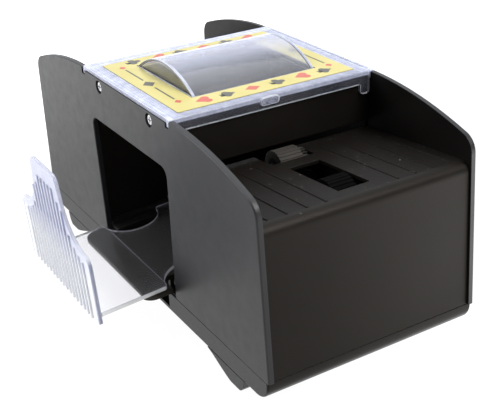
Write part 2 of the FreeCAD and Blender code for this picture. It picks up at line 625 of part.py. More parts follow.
rp = lambda n: MODULE * n / 2.0
IDLE1 = two_circles(DRIVE, rp(T_SMALL) + rp(T_IDLE1), ROLL, rp(T_ROLL) + rp(T_IDLE1))
IDLE2 = two_circles(DRIVE, rp(T_SMALL) + rp(T_IDLE2), FEED, rp(T_FEED) + rp(T_IDLE2))
MOTOR = (DRIVE[0] + (rp(T_BIG) + rp(T_PIN)) * math.cos(math.radians(-60)),
         DRIVE[1] + (rp(T_BIG) + rp(T_PIN)) * math.sin(math.radians(-60)))
print("idler axes", IDLE1, IDLE2, "motor", MOTOR)
PH = 0.0
ph_i1 = mesh_phase(PH, T_SMALL, DRIVE, T_IDLE1, IDLE1)
ph_r = mesh_phase(ph_i1, T_IDLE1, IDLE1, T_ROLL, ROLL)
ph_i2 = mesh_phase(PH, T_SMALL, DRIVE, T_IDLE2, IDLE2)
ph_f = mesh_phase(ph_i2, T_IDLE2, IDLE2, T_FEED, FEED)
ph_m = mesh_phase(PH, T_BIG, DRIVE, T_PIN, MOTOR)

GA0, GA1 = 6.4, 9.2       # plane of the idlers, roller and feed gears
GB0, GB1 = 2.2, 5.2       # plane of the drive gear and the motor pinion
PL_A = (-13.5, -11.5)     # front bearing plate
PL_B = (10.3, 12.3)       # rear bearing plate


def ribbed_tyre(c, r_out, r_in, y0, y1, n=28):
    s = cy(c[0], c[1], r_out, y0, y1).cut(cy(c[0], c[1], r_in, y0 - 1, y1 + 1))
    cuts = []
    for k in range(n):
        a = 2 * math.pi * k / n
        cuts.append(cy(c[0] + (r_out + 0.12) * math.cos(a), c[1] + (r_out + 0.12) * math.sin(a), 0.45, y0 - 1, y1 + 1))
    return s.cut(Part.makeCompound(cuts))


def side(prefix, flip):
    f = mirror_x if flip else (lambda q: q)
    # drive bracket
    plate = [(43.6, 62.0), (43.6, zf(43.6) - FLOOR_T - 0.15), (92.5, zf(92.5) - FLOOR_T - 0.15), (92.5, 60.0), (90.0, 27.0),
             (58.0, 27.0), (56.0, 50.0)]
    br = prism_y(plate, *PL_A).multiFuse([
        prism_y(plate, *PL_B),
        box(58.0, 90.0, -23.5, 46.5, 27.0, 29.0),
        box(66.5, 82.5, 15.0, 18.0, 28.5, MOTOR[1] - 7.7),
        box(66.5, 82.5, 31.0, 34.0, 28.5, MOTOR[1] - 7.7)])
    # lighten and open both plates
    br = br.cut(box(60.5, 88.0, PL_A[0] - 1, PL_A[1] + 1, 32.0, 60.0))
    for c in (ROLL, FEED):
        br = br.cut(cy(c[0], c[1], 2.0, PL_A[0] - 1, PL_A[1] + 1))
        br = br.cut(cy(c[0], c[1], 2.0, PL_B[0] - 1, PL_B[1] + 1))
    for c in (DRIVE, IDLE1, IDLE2):
        br = br.cut(cy(c[0], c[1], 1.5, PL_B[0] - 1, PL_B[1] + 1))
    br = br.cut(cy(MOTOR[0], MOTOR[1], 3.1, PL_B[0] - 1, PL_B[1] + 1))
    for sx in (-1, 1):
        br = br.cut(cy(MOTOR[0] + sx * 7.0, MOTOR[1], 1.05, PL_B[0] - 1, PL_B[1] + 1))
    for x, y in BRACKET_SCREWS:
        br = br.cut(cz(x, y, 1.2, 26, 30))
    br = br.cut(cz(SCREW_X[0], 40.0, 3.6, 20, 40))
    put(prefix + "_drive_bracket", f(br.removeSplitter()))
    bs = [f(pan_screw(x, y, 27.0, (0, 0, 1), 2.2, 1.1, 0.98, 8.5)) for x, y in BRACKET_SCREWS]
    BRACKET_SCREW_SOLIDS.extend(bs)
    # plain bushes
    bushes = []
    for c in (ROLL, FEED):
        for a, b in (PL_A, PL_B):
            bushes.append(f(cy(c[0], c[1], 2.0, a, b).cut(cy(c[0], c[1], SHAFT_R + 0.05, a - 1, b + 1))))
    BUSH_SOLIDS.extend(bushes)
    # axle pins of the drive gear and the idlers, fixed in the rear plate
    pins = []
    for c, y0 in ((DRIVE, GB0 - 0.2), (IDLE1, GA0 - 0.2), (IDLE2, GA0 - 0.2)):
        p = cy(c[0], c[1], 1.5, y0, PL_B[1])
        p = p.fuse(cy(c[0], c[1], 2.4, y0 - 0.7, y0))
        pins.append(f(p))
    put(prefix + "_axle_pins", group(pins))
    # motor: can, end cap and two screws; shaft and pinion turn
    can = cy(MOTOR[0], MOTOR[1], 10.0, PL_B[1], PL_B[1] + 22.5).common(
        box(MOTOR[0] - 11, MOTOR[0] + 11, 0, 60, MOTOR[1] - 7.7, MOTOR[1] + 7.7))
    can = fillet(can, 0.8, lambda e: abs(mid(e).y - (PL_B[1] + 22.5)) < 1e-6)
    can = can.fuse(cy(MOTOR[0], MOTOR[1], 3.0, PL_B[0], PL_B[1] + 0.5))
    can = can.cut(cy(MOTOR[0], MOTOR[1], 1.06, PL_B[0] - 1, PL_B[1] + 18.0))
    for sx in (-1, 1):
        can = can.cut(cy(MOTOR[0] + sx * 7.0, MOTOR[1], 1.0, PL_B[1] - 1, PL_B[1] + 3.2))
    put(prefix + "_motor_can", f(can.removeSplitter()))
    cap = cy(MOTOR[0], MOTOR[1], 9.2, PL_B[1] + 22.5, PL_B[1] + 24.6).common(
        box(MOTOR[0] - 11, MOTOR[0] + 11, 0, 60, MOTOR[1] - 7.0, MOTOR[1] + 7.0))
    cap = cap.multiFuse([box(MOTOR[0] - 6.0, MOTOR[0] - 4.0, PL_B[1] + 24.4, PL_B[1] + 26.4, MOTOR[1] - 0.3, MOTOR[1] + 0.3),
                         box(MOTOR[0] + 4.0, MOTOR[0] + 6.0, PL_B[1] + 24.4, PL_B[1] + 26.4, MOTOR[1] - 0.3, MOTOR[1] + 0.3)])
    put(prefix + "_motor_cap", f(cap.removeSplitter()))
    ms = [f(pan_screw(MOTOR[0] + sx * 7.0, PL_B[0], MOTOR[1], (0, 1, 0), 1.7, 0.8, 0.95, 4.6)) for sx in (-1, 1)]
    MOTOR_SCREW_SOLIDS.extend(ms)
    put(prefix + "_motor_shaft", f(cy(MOTOR[0], MOTOR[1], SHAFT_R, GB0 - 0.4, PL_B[1] + 17.5)))
    pin = gear(T_PIN, ph_m, MOTOR, GB0, GB1).cut(cy(MOTOR[0], MOTOR[1], SHAFT_R, GB0 - 1, GB1 + 1))
    put(prefix + "_motor_pinion", f(pin))
    # drive gear: two toothed rings in one moulding
    dg = gear(T_BIG, PH, DRIVE, GB0, GB1)
    for k in range(6):
        a = math.radians(60 * k + 30)
        dg = dg.cut(cy(DRIVE[0] + 8.6 * math.cos(a), DRIVE[1] + 8.6 * math.sin(a), 2.0, GB0 - 1, GB1 + 1))
    dg = dg.multiFuse([gear(T_SMALL, PH, DRIVE, GB1 - 0.2, GA1), cy(DRIVE[0], DRIVE[1], 2.8, GA1 - 0.1, PL_B[0] - 0.2)])
    dg = dg.cut(cy(DRIVE[0], DRIVE[1], 1.55, GB0 - 1, PL_B[0] + 1))
    put(prefix + "_drive_gear", f(dg.removeSplitter()))
    for nm, n, ph, c in (("_roller_idler", T_IDLE1, ph_i1, IDLE1), ("_feed_idler", T_IDLE2, ph_i2, IDLE2)):
        g = gear(n, ph, c, GA0, GA1).fuse(cy(c[0], c[1], 2.6, GA1 - 0.1, PL_B[0] - 0.2))
        g = g.cut(cy(c[0], c[1], 1.55, GA0 - 1, PL_B[0] + 1))
        put(prefix + nm, f(g.removeSplitter()))
    # roller and feed wheel assemblies
    for nm, n, ph, c, r in (("_roller", T_ROLL, ph_r, ROLL, ROLL_R), ("_feed", T_FEED, ph_f, FEED, FEED_R)):
        sh = cy(c[0], c[1], SHAFT_R, PL_A[0] - 1.2, PL_B[1] + 1.2)
        put(prefix + nm + "_shaft", f(sh))
        core = cy(c[0], c[1], 4.0, -5.9, 5.9).fuse(cy(c[0], c[1], 1.9, PL_A[1] + 0.25, -5.8))
        core = core.cut(cy(c[0], c[1], SHAFT_R, -20, 20))
        put(prefix + nm + "_core", f(core.removeSplitter()))
        put(prefix + nm + "_tyre", f(ribbed_tyre(c, r, 4.0, -5.5, 5.5)))
        g = gear(n, ph, c, GA0, GA1).fuse(cy(c[0], c[1], 2.4, GA1 - 0.1, PL_B[0] - 0.25))
        g = g.cut(cy(c[0], c[1], SHAFT_R, 0, 20))
        put(prefix + nm + "_gear", f(g.removeSplitter()))


BRACKET_SCREW_SOLIDS, MOTOR_SCREW_SOLIDS, BUSH_SOLIDS = [], [], []
side("right", False)
side("left", True)
put("bracket_screws", group(BRACKET_SCREW_SOLIDS))
put("motor_screws", group(MOTOR_SCREW_SOLIDS))
put("shaft_bushes", group(BUSH_SOLIDS))

# ---------------------------------------------------------------- output
for shape in NODES.values():
    shape.translate(V(0, 0, -FOOT_Z))
total = Part.makeCompound(list(NODES.values())).BoundBox
print("box", [round(v, 2) for v in (total.XMin, total.YMin, total.ZMin, total.XMax, total.YMax, total.ZMax)])
print(len(NODES), "nodes")
for name, shape in NODES.items():
    solids = shape.Solids
    if not shape.isValid() or not solids or min(q.Volume for q in solids) <= 0:
        print("CHECK", name, shape.isValid(), len(solids), [round(q.Volume, 3) for q in solids][:6])
    shape.exportStep("parts/%s.step" % name)
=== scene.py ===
import math
import bpy
import bmesh
from mathutils import Matrix, Vector


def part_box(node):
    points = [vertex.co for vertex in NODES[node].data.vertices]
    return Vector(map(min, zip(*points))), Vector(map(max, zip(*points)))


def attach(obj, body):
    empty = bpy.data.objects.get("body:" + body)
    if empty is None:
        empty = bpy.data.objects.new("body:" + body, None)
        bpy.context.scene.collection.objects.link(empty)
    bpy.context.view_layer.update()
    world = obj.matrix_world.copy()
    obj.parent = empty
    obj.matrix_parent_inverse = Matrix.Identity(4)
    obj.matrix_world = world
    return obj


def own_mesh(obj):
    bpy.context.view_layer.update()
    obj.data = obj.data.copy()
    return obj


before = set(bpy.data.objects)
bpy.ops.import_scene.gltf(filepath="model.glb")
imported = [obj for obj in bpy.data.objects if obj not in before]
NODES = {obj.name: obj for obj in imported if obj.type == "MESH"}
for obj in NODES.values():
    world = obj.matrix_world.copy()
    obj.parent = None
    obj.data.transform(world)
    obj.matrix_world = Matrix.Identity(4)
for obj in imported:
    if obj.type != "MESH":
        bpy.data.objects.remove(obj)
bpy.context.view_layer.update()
bpy.context.scene.view_settings.view_transform = "Standard"
bpy.context.scene.view_settings.look = "None"


# ---------------------------------------------------------------- material helpers
class Mat:
    """A node material with short calls for the nodes that are used again and again."""

    def __init__(self, name):
        self.m = bpy.data.materials.new(name)
        self.m.use_nodes = True
        self.nt = self.m.node_tree
        self.nt.nodes.clear()
        self.out = self.nt.nodes.new("ShaderNodeOutputMaterial")
        self.co = self.nt.nodes.new("ShaderNodeTexCoord")

    def node(self, kind, **settings):
        n = self.nt.nodes.new(kind)
        for k, v in settings.items():
            setattr(n, k, v)
        return n

    def put(self, socket, value):
        if isinstance(value, bpy.types.NodeSocket):
            self.nt.links.new(value, socket)
        else:
            socket.default_value = value

    def coords(self, scale=(1, 1, 1), rot=(0, 0, 0), loc=(0, 0, 0)):
        n = self.node("ShaderNodeMapping")
        self.put(n.inputs["Vector"], self.co.outputs["Object"])
        n.inputs["Scale"].default_value = scale
        n.inputs["Rotation"].default_value = rot
        n.inputs["Location"].default_value = loc
        return n.outputs[0]

    def noise(self, scale, detail=3.0, rough=0.55, vector=None, distortion=0.0):
        n = self.node("ShaderNodeTexNoise")
        self.put(n.inputs["Vector"], vector if vector is not None else self.co.outputs["Object"])
        n.inputs["Scale"].default_value = scale
        n.inputs["Detail"].default_value = detail
        n.inputs["Roughness"].default_value = rough
        n.inputs["Distortion"].default_value = distortion
        return n.outputs["Fac"]

    def ramp(self, fac, stops):
        n = self.node("ShaderNodeValToRGB")
        self.put(n.inputs["Fac"], fac)
        e = n.color_ramp.elements
        while len(e) > 1:
            e.remove(e[-1])
        e[0].position, e[0].color = stops[0][0], stops[0][1]
        for pos, col in stops[1:]:
            q = e.new(pos)
            q.color = col
        return n.outputs["Color"]

    def span(self, fac, a, b, lo, hi, clamp=True):
        n = self.node("ShaderNodeMapRange", clamp=clamp)
        self.put(n.inputs["Value"], fac)
        for k, v in (("From Min", a), ("From Max", b), ("To Min", lo), ("To Max", hi)):
            n.inputs[k].default_value = v
        return n.outputs["Result"]

    def math(self, op, a, b=0.0, clamp=False):
        n = self.node("ShaderNodeMath", operation=op, use_clamp=clamp)
        self.put(n.inputs[0], a)
        self.put(n.inputs[1], b)
        return n.outputs[0]

    def mix(self, fac, a, b, blend="MIX"):
        n = self.node("ShaderNodeMix", data_type="RGBA", blend_type=blend)
        self.put(n.inputs[0], fac)
        self.put(n.inputs[6], a)
        self.put(n.inputs[7], b)
        return n.outputs[2]

    def xyz(self, vector=None):
        n = self.node("ShaderNodeSeparateXYZ")
        self.put(n.inputs[0], vector if vector is not None else self.co.outputs["Object"])
        return n.outputs

    def bump(self, height, strength, distance, normal=None):
        n = self.node("ShaderNodeBump")
        n.inputs["Strength"].default_value = strength
        n.inputs["Distance"].default_value = distance
        self.put(n.inputs["Height"], height)
        if normal is not None:
            self.put(n.inputs["Normal"], normal)
        return n.outputs["Normal"]

    def bevel(self, radius, samples=4):
        n = self.node("ShaderNodeBevel", samples=samples)
        n.inputs["Radius"].default_value = radius
        return n.outputs["Normal"]

    def edge_mask(self, radius, lo=0.004, hi=0.06, samples=6):
        """1 along the edges of the solid, 0 on its flats."""
        g = self.node("ShaderNodeNewGeometry")
        d = self.node("ShaderNodeVectorMath", operation="DOT_PRODUCT")
        self.put(d.inputs[0], self.bevel(radius, samples))
        self.put(d.inputs[1], g.outputs["Normal"])
        return self.span(self.math("SUBTRACT", 1.0, d.outputs["Value"]), lo, hi, 0.0, 1.0)

    def principled(self, **v):
        n = self.node("ShaderNodeBsdfPrincipled")
        for k, val in v.items():
            self.put(n.inputs[k.replace("_", " ")], val)
        return n

    def finish(self, shader):
        self.nt.links.new(shader, self.out.inputs["Surface"])
        return self.m


def rgb(r, g, b):
    """sRGB 0-255 to linear."""
    f = lambda c: c / 12.92 if c <= 0.04045 else ((c + 0.055) / 1.055) ** 2.4
    return (f(r / 255), f(g / 255), f(b / 255), 1.0)


def moulded(name, dark, light, rough=(0.40, 0.52), grain=2600.0, grain_bump=0.10, spec=0.5, edge=0.0004, cloud=14.0,
            tint=(1.0, 1.0, 1.0, 1.0), dust=0.0):
    """Satin injection moulding: slow tone drift, fine spark-eroded grain, softened edges."""
    m = Mat(name)
    slow = m.noise(cloud, 3.0, 0.5)
    mid = m.noise(160.0, 4.0, 0.6)
    fine = m.noise(grain, 2.0, 0.6)
    tone = m.math("ADD", m.math("MULTIPLY", slow, 0.75), m.math("MULTIPLY", mid, 0.25))
    col = m.ramp(m.span(tone, 0.35, 0.65, 0.0, 1.0), [(0.0, dark), (1.0, light)])
    col = m.mix(m.span(fine, 0.35, 0.75, 0.0, 0.22), col, light)
    ro = m.span(m.math("ADD", m.math("MULTIPLY", mid, 0.6), m.math("MULTIPLY", fine, 0.4)), 0.35, 0.65, rough[0], rough[1])
    nrm = m.bump(fine, grain_bump, 0.00012, m.bevel(edge) if edge else None)
    nrm = m.bump(slow, 0.05, 0.0006, nrm)
    if dust:
        g = m.node("ShaderNodeNewGeometry")
        d = m.node("ShaderNodeSeparateXYZ")
        m.put(d.inputs[0], g.outputs["Normal"])
        speck = m.math("MULTIPLY", m.span(m.noise(760.0, 1.0, 0.5), 0.70, 0.76, 0.0, dust), m.span(mid, 0.40, 0.60, 0.2, 1.0))
        col = m.mix(m.math("MULTIPLY", speck, m.span(d.outputs[2], 0.85, 0.97, 0.0, 1.0)), col, rgb(190, 188, 182))
    p = m.principled(Base_Color=col, Roughness=ro, Normal=nrm, Specular_IOR_Level=spec, Specular_Tint=tint)
    return m.finish(p.outputs[0])


def metal(name, a, b, rough=(0.22, 0.36), stretch=(1, 1, 1), scale=900.0, bump=0.08):
    m = Mat(name)
    v = m.coords(scale=stretch)
    n = m.noise(scale, 4.0, 0.6, v)
    big = m.noise(60.0, 3.0, 0.5)
    col = m.mix(m.span(m.math("ADD", m.math("MULTIPLY", n, 0.5), m.math("MULTIPLY", big, 0.5)), 0.4, 0.62, 0.0, 1.0), a, b)
    p = m.principled(Base_Color=col, Metallic=1.0, Roughness=m.span(n, 0.3, 0.7, rough[0], rough[1]),
                     Normal=m.bump(n, bump, 0.00008, m.bevel(0.00015)))
    return m.finish(p.outputs[0])


# ---------------------------------------------------------------- the materials
shell = moulded("dark_shell_satin", (0.0086, 0.0084, 0.0092, 1), (0.0122, 0.0119, 0.0130, 1), rough=(0.36, 0.46), spec=0.38)
# painted shade: a darker, warmer, less glossy copy of the shell plastic for the hoppers, the battery door and the
# base's end walls; its warm specular tint is a painted warm reflection
matte_painted_shade = moulded("dark_shell_painted_shade", (0.0052, 0.0042, 0.0035, 1), (0.0080, 0.0066, 0.0055, 1), rough=(0.40, 0.48), spec=0.13,
                tint=(1.0, 0.92, 0.84, 1.0), dust=0.14)


def base_with_painted_shade_ends():
    """The base: its long walls are polished like the side panels, its end walls matt like the hoppers and painted
    darker, as painted shade.
    """
    m = Mat("dark_base_painted_shade_ends")
    slow = m.noise(14.0, 3.0, 0.5)
    fine = m.noise(2600.0, 2.0, 0.6)
    nrm = m.bump(fine, 0.10, 0.00012, m.bevel(0.0004))
    tone = m.span(slow, 0.35, 0.65, 0.0, 1.0)
    a = m.principled(Base_Color=m.mix(tone, (0.0086, 0.0084, 0.0092, 1), (0.0122, 0.0119, 0.0130, 1)),
                     Roughness=m.span(fine, 0.35, 0.65, 0.36, 0.46), Normal=nrm, Specular_IOR_Level=0.38)
    b = m.principled(Base_Color=m.mix(tone, (0.0052, 0.0042, 0.0035, 1), (0.0080, 0.0066, 0.0055, 1)),
                     Roughness=m.span(fine, 0.35, 0.65, 0.40, 0.48), Normal=nrm, Specular_IOR_Level=0.13,
                     Specular_Tint=(1.0, 0.92, 0.84, 1.0))
    x = m.math("ABSOLUTE", m.xyz()[0])
    mx = m.node("ShaderNodeMixShader")
    # painted shade: past |x| 0.1090-0.1098 the end walls switch to the darker, warmer, less glossy copy b
    m.put(mx.inputs[0], m.span(x, 0.1090, 0.1098, 0.0, 1.0))
    m.nt.links.new(a.outputs[0], mx.inputs[1])
    m.nt.links.new(b.outputs[0], mx.inputs[2])
    return m.finish(mx.outputs[0])


base_mat = base_with_painted_shade_ends()


def panel_with_painted_shade_inside():
    """The side panels: polished outside and on the rim, matt on the inner face, whose darker colour is painted shade.
    """
    m = Mat("dark_panel_painted_shade_inside")
    slow = m.noise(14.0, 3.0, 0.5)
    mid = m.noise(160.0, 4.0, 0.6)
    fine = m.noise(2600.0, 2.0, 0.6)
    tone = m.span(m.math("ADD", m.math("MULTIPLY", slow, 0.75), m.math("MULTIPLY", mid, 0.25)), 0.35, 0.65, 0.0, 1.0)
    nrm = m.bump(slow, 0.05, 0.0006, m.bump(fine, 0.10, 0.00012, m.bevel(0.0004)))
    rough = m.span(m.math("ADD", m.math("MULTIPLY", mid, 0.6), m.math("MULTIPLY", fine, 0.4)), 0.35, 0.65, 0.36, 0.46)
    outer = m.principled(Base_Color=m.mix(tone, (0.0086, 0.0084, 0.0096, 1), (0.0122, 0.0119, 0.0136, 1)), Roughness=rough,
                         Normal=nrm, Specular_IOR_Level=0.37)
    # painted shade: the inner face is a darker, less glossy copy of the outer plastic
    inside = m.principled(Base_Color=m.mix(tone, (0.0034, 0.0028, 0.0024, 1), (0.0052, 0.0044, 0.0038, 1)), Roughness=rough,
                          Normal=nrm, Specular_IOR_Level=0.15)
    mx = m.node("ShaderNodeMixShader")
    m.put(mx.inputs[0], m.span(m.math("ABSOLUTE", m.xyz()[1]), PANEL_IN + 0.00005, PANEL_IN + 0.00020, 0.0, 1.0))
    m.nt.links.new(inside.outputs[0], mx.inputs[1])
    m.nt.links.new(outer.outputs[0], mx.inputs[2])
    return m.finish(mx.outputs[0])


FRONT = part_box("front_panel")
PANEL_IN = abs(FRONT[1][1])
panel = panel_with_painted_shade_inside()
# painted shade: a darker copy of the shell plastic for the parts inside the machine (tower frame, drawer bed, drive
# brackets)
inner = moulded("dark_inner_painted_shade", (0.0036, 0.0032, 0.0028, 1), (0.0060, 0.0054, 0.0048, 1), rough=(0.45, 0.60), spec=0.25)
lever = moulded("lever_satin", (0.0064, 0.0052, 0.0040, 1), (0.0100, 0.0082, 0.0064, 1), rough=(0.42, 0.54), spec=0.30,
                tint=(1.0, 0.92, 0.80, 1.0))
dark_acetal = moulded("gear_acetal", rgb(24, 23, 22), rgb(36, 35, 33), rough=(0.44, 0.56), grain=1500, grain_bump=0.04, spec=0.2)
grey_core = moulded("roller_core_plastic", rgb(24, 23, 22), rgb(36, 35, 33), rough=(0.45, 0.6), grain=1800, grain_bump=0.05, spec=0.10)
nylon = moulded("motor_cap_nylon", rgb(220, 219, 212), rgb(236, 235, 230), rough=(0.35, 0.5), grain=1500, grain_bump=0.04)


def rubber(name, dark, light, rough=(0.62, 0.80), spec=0.35):
    m = Mat(name)
    fine = m.noise(1400.0, 4.0, 0.65)
    slow = m.noise(90.0, 3.0, 0.5)
    dust = m.noise(420.0, 2.0, 0.5)
    col = m.ramp(m.span(m.math("ADD", m.math("MULTIPLY", fine, 0.4), m.math("MULTIPLY", slow, 0.6)), 0.36, 0.66, 0, 1),
                 [(0.0, dark), (1.0, light)])
    col = m.mix(m.span(dust, 0.60, 0.78, 0.0, 0.25), col, (light[0] * 1.5, light[1] * 1.5, light[2] * 1.5, 1))
    p = m.principled(Base_Color=col, Roughness=m.span(fine, 0.3, 0.7, rough[0], rough[1]), Specular_IOR_Level=spec,
                     Normal=m.bump(fine, 0.30, 0.0002, m.bevel(0.0002)))
    return m.finish(p.outputs[0])


roller_rubber = rubber("roller_rubber", rgb(36, 33, 29), rgb(56, 52, 46), spec=0.30)
# painted shade: the feed tyre is a near-black, low-specular copy of the tyre rubber, for the shade in the tray's feed
# hole
feed_rubber_painted_shade = rubber("feed_rubber_painted_shade", rgb(3, 3, 3), rgb(7, 6, 6), spec=0.03)
pad_rubber = rubber("pad_rubber", rgb(14, 14, 14), rgb(26, 26, 26))

steel = metal("turned_steel", rgb(170, 172, 176), rgb(205, 207, 210), stretch=(1, 0.05, 1))
screw_metal = metal("nickel_screws", rgb(196, 197, 200), rgb(230, 231, 233), rough=(0.14, 0.26))
spring_metal = metal("spring_steel", rgb(150, 152, 155), rgb(188, 190, 192))
brass = metal("sheet_brass", rgb(196, 164, 86), rgb(222, 194, 118), rough=(0.24, 0.4))
bronze = metal("sintered_bronze", rgb(140, 98, 58), rgb(176, 132, 84), rough=(0.4, 0.6), scale=2200, bump=0.25)
zinc = metal("zinc_can", rgb(150, 151, 150), rgb(190, 191, 189), stretch=(1, 0.2, 1), rough=(0.30, 0.45))


def cell_sleeve():
    """Shrink sleeve of a battery cell: green body, a light band near the plus end, nothing printed."""
    m = Mat("cell_sleeve")
    n = m.noise(70.0, 3.0, 0.5)
    fine = m.noise(900.0, 3.0, 0.5)
    col = m.mix(m.span(n, 0.35, 0.65, 0, 1), rgb(26, 92, 52), rgb(36, 112, 64))
    y = m.math("ABSOLUTE", m.xyz()[1])
    ends = m.span(y, 0.0215, 0.0219, 0.0, 1.0)
    col = m.mix(ends, col, rgb(196, 198, 200))
    p = m.principled(Base_Color=col, Roughness=m.span(fine, 0.3, 0.7, 0.22, 0.34), Metallic=m.math("MULTIPLY", ends, 0.9),
                     Normal=m.bump(fine, 0.05, 0.0001))
    return m.finish(p.outputs[0])


cell_mat = cell_sleeve()


def clear(name, tint, haze_col, haze, rough=(0.02, 0.07), ior=1.49, streak=(1, 1, 1), haze_and_highlight_by=None, edge=0.0003, rim=0.0004,
          painted_edge_haze=0.75, haze_normal=None, scatter=0.0, painted_edge_col=None, mottle=(0.6, 1.4),
          edge_by=None, haze_painted_shade_tone=None):
    """Clear polished moulding: a faint haze from wear, given place by place by a haze function that also lays on
    painted highlights and painted shade, and edges painted in the rim colour as painted highlights.
    """
    m = Mat(name)
    v = m.coords(scale=streak)
    wear = m.noise(240.0, 4.0, 0.6, v)
    fine = m.noise(1800.0, 3.0, 0.6)
    slow = m.noise(26.0, 2.0, 0.5)
    nrm = m.bump(slow, 0.10, 0.0010, m.bevel(edge) if edge else None)
    nrm = m.bump(wear, 0.03, 0.0004, nrm)
    g = m.principled(Base_Color=m.mix(slow, tint, (min(1, tint[0] * 1.02), min(1, tint[1] * 1.02), min(1, tint[2] * 1.01), 1)),
                     Transmission_Weight=1.0, IOR=ior, Roughness=m.span(wear, 0.35, 0.7, rough[0], rough[1]), Normal=nrm)
    # painted highlight: haze in the rim colour is painted along every edge of the solid
    edges = m.edge_mask(rim)
    if edge_by:
        edges = m.math("MAXIMUM", edges, edge_by(m))
    body = m.mix(haze_painted_shade_tone(m), haze_col, painted_edge_col or haze_col) if haze_painted_shade_tone else haze_col
    d = m.principled(Base_Color=m.mix(edges, body, painted_edge_col or haze_col), Roughness=0.35, Normal=haze_normal(m, nrm) if haze_normal else nrm)
    if scatter:
        d.inputs["Subsurface Weight"].default_value = 1.0
        d.inputs["Subsurface Radius"].default_value = (1.0, 1.0, 1.0)
        d.inputs["Subsurface Scale"].default_value = scatter
    h = m.math("MULTIPLY", m.span(m.math("ADD", m.math("MULTIPLY", wear, 0.6), m.math("MULTIPLY", fine, 0.4)), 0.3, 0.7, mottle[0], mottle[1]),
               haze_and_highlight_by(m) if haze_and_highlight_by else haze)
    h = m.math("MAXIMUM", h, m.math("MULTIPLY", edges, painted_edge_haze))
    mx = m.node("ShaderNodeMixShader")
    m.put(mx.inputs[0], h)
    m.nt.links.new(g.outputs[0], mx.inputs[1])
    m.nt.links.new(d.outputs[0], mx.inputs[2])
    return m.finish(mx.outputs[0])


def painted_step_reflections(m, coord, pitch, depth, seed):
    """Painted reflections: fine lines along a border, as the stepped edges of a clear moulding show them: coord runs
    across them.
    """
    w = m.node("ShaderNodeTexNoise", noise_dimensions="1D")
    m.put(w.inputs["W"], m.math("ADD", coord, seed))
    w.inputs["Scale"].default_value = 1.0 / pitch
    w.inputs["Detail"].default_value = 2.0
    return m.span(w.outputs["Fac"], 0.35, 0.65, 1.0 - depth, 1.0)


def lid_haze_and_painted_highlights(m):
    """Painted highlights: a bright stepped rim round the label, bright corner lugs and thumb tab, a clear lip below it,
    and a dome painted hazier towards its crown and its ends; elsewhere a faint haze.
    """
    x, y, z = m.xyz()
    xn = m.math("MULTIPLY", x, -1.0)
    yn = m.math("MULTIPLY", y, -1.0)
    ex = m.math("MULTIPLY", m.math("MAXIMUM", m.span(x, 0.0384, 0.0388, 0.0, 0.50), m.span(xn, 0.0363, 0.0367, 0.0, 0.85)),
                painted_step_reflections(m, x, 0.0009, 0.40, 3.0))
    ey = m.math("MULTIPLY", m.math("MAXIMUM", m.span(y, 0.0426, 0.0430, 0.0, 0.70), m.span(yn, 0.0428, 0.0432, 0.0, 0.80)),
                painted_step_reflections(m, y, 0.0008, 0.75, 7.0))
    top = m.span(z, 0.0984, 0.0990, 0.0, 1.0)
    rim = m.math("MULTIPLY", m.math("MAXIMUM", ex, ey), top)
    lug = m.math("MULTIPLY", m.span(m.math("ABSOLUTE", y), 0.0474, 0.0478, 0.0, 1.0),
                 m.span(m.math("ABSOLUTE", x), 0.0408, 0.0412, 0.0, 0.80))
    tab = m.span(x, 0.0435, 0.0437, 0.0, 0.35)
    # dome
    # painted highlight: the dome is painted hazier towards its crown and its ends
    up = m.span(z, 0.1008, 0.1010, 0.0, 1.0)
    crown = m.span(m.math("SUBTRACT", z, m.math("MULTIPLY", x, 0.12)), 0.1035, 0.1105, 0.05, 0.34)
    ends = m.math("MAXIMUM", m.span(yn, 0.0283, 0.0285, 0.0, 0.50), m.span(y, 0.0289, 0.0291, 0.0, 0.42))
    nz = m.node("ShaderNodeSeparateXYZ")
    g = m.node("ShaderNodeNewGeometry")
    m.put(nz.inputs[0], g.outputs["Normal"])
    curved = m.span(m.math("ABSOLUTE", nz.outputs[1]), 0.35, 0.6, 1.0, 0.0)
    dome = m.math("MULTIPLY", m.math("MAXIMUM", crown, m.math("MULTIPLY", ends, curved)), up)
    h = m.math("MAXIMUM", m.math("MAXIMUM", rim, lug), m.math("MAXIMUM", tab, dome))
    return m.math("MAXIMUM", h, 0.04)


def sheet_normal(m, nrm):
    """The fence scatters inside, so its ribs shade almost like one flat sheet."""
    y = m.xyz()[1]
    g = m.node("ShaderNodeNewGeometry")
    n = m.node("ShaderNodeSeparateXYZ")
    m.put(n.inputs[0], g.outputs["Normal"])
    c = m.node("ShaderNodeCombineXYZ")
    m.put(c.inputs[1], m.span(n.outputs[1], 0.30, 0.32, -1.0, 1.0))
    w = m.node("ShaderNodeMix", data_type="VECTOR")
    m.put(w.inputs[0], m.span(y, -0.0846, -0.0836, 0.80, 0.0))
    m.put(w.inputs[4], nrm)
    m.put(w.inputs[5], c.outputs[0])
    v = m.node("ShaderNodeVectorMath", operation="NORMALIZE")
    m.put(v.inputs[0], w.outputs[1])
    return v.outputs[0]


def drawer_haze_and_painted_edges(m):
    """White moulded fence, a clear floor, and cut edges round the floor and its notches painted bright, a painted
    highlight.
    """
    x, y, z = m.xyz()
    g = m.node("ShaderNodeNewGeometry")
    n = m.node("ShaderNodeSeparateXYZ")
    m.put(n.inputs[0], g.outputs["Normal"])
    fence = m.span(y, -0.0846, -0.0836, 1.0, 0.0)
    end = m.span(m.math("ABSOLUTE", x), 0.0386, 0.0388, 0.92, 0.40)
    # painted highlight: the upright cut faces of the floor behind the fence get a white haze
    side = m.math("MULTIPLY", m.span(m.math("ABSOLUTE", n.outputs[2]), 0.3, 0.6, 0.75, 0.0), m.span(y, -0.0836, -0.0830, 0.0, 1.0))
    return m.math("MAXIMUM", m.math("MAXIMUM", m.math("MULTIPLY", fence, end), side), 0.012)


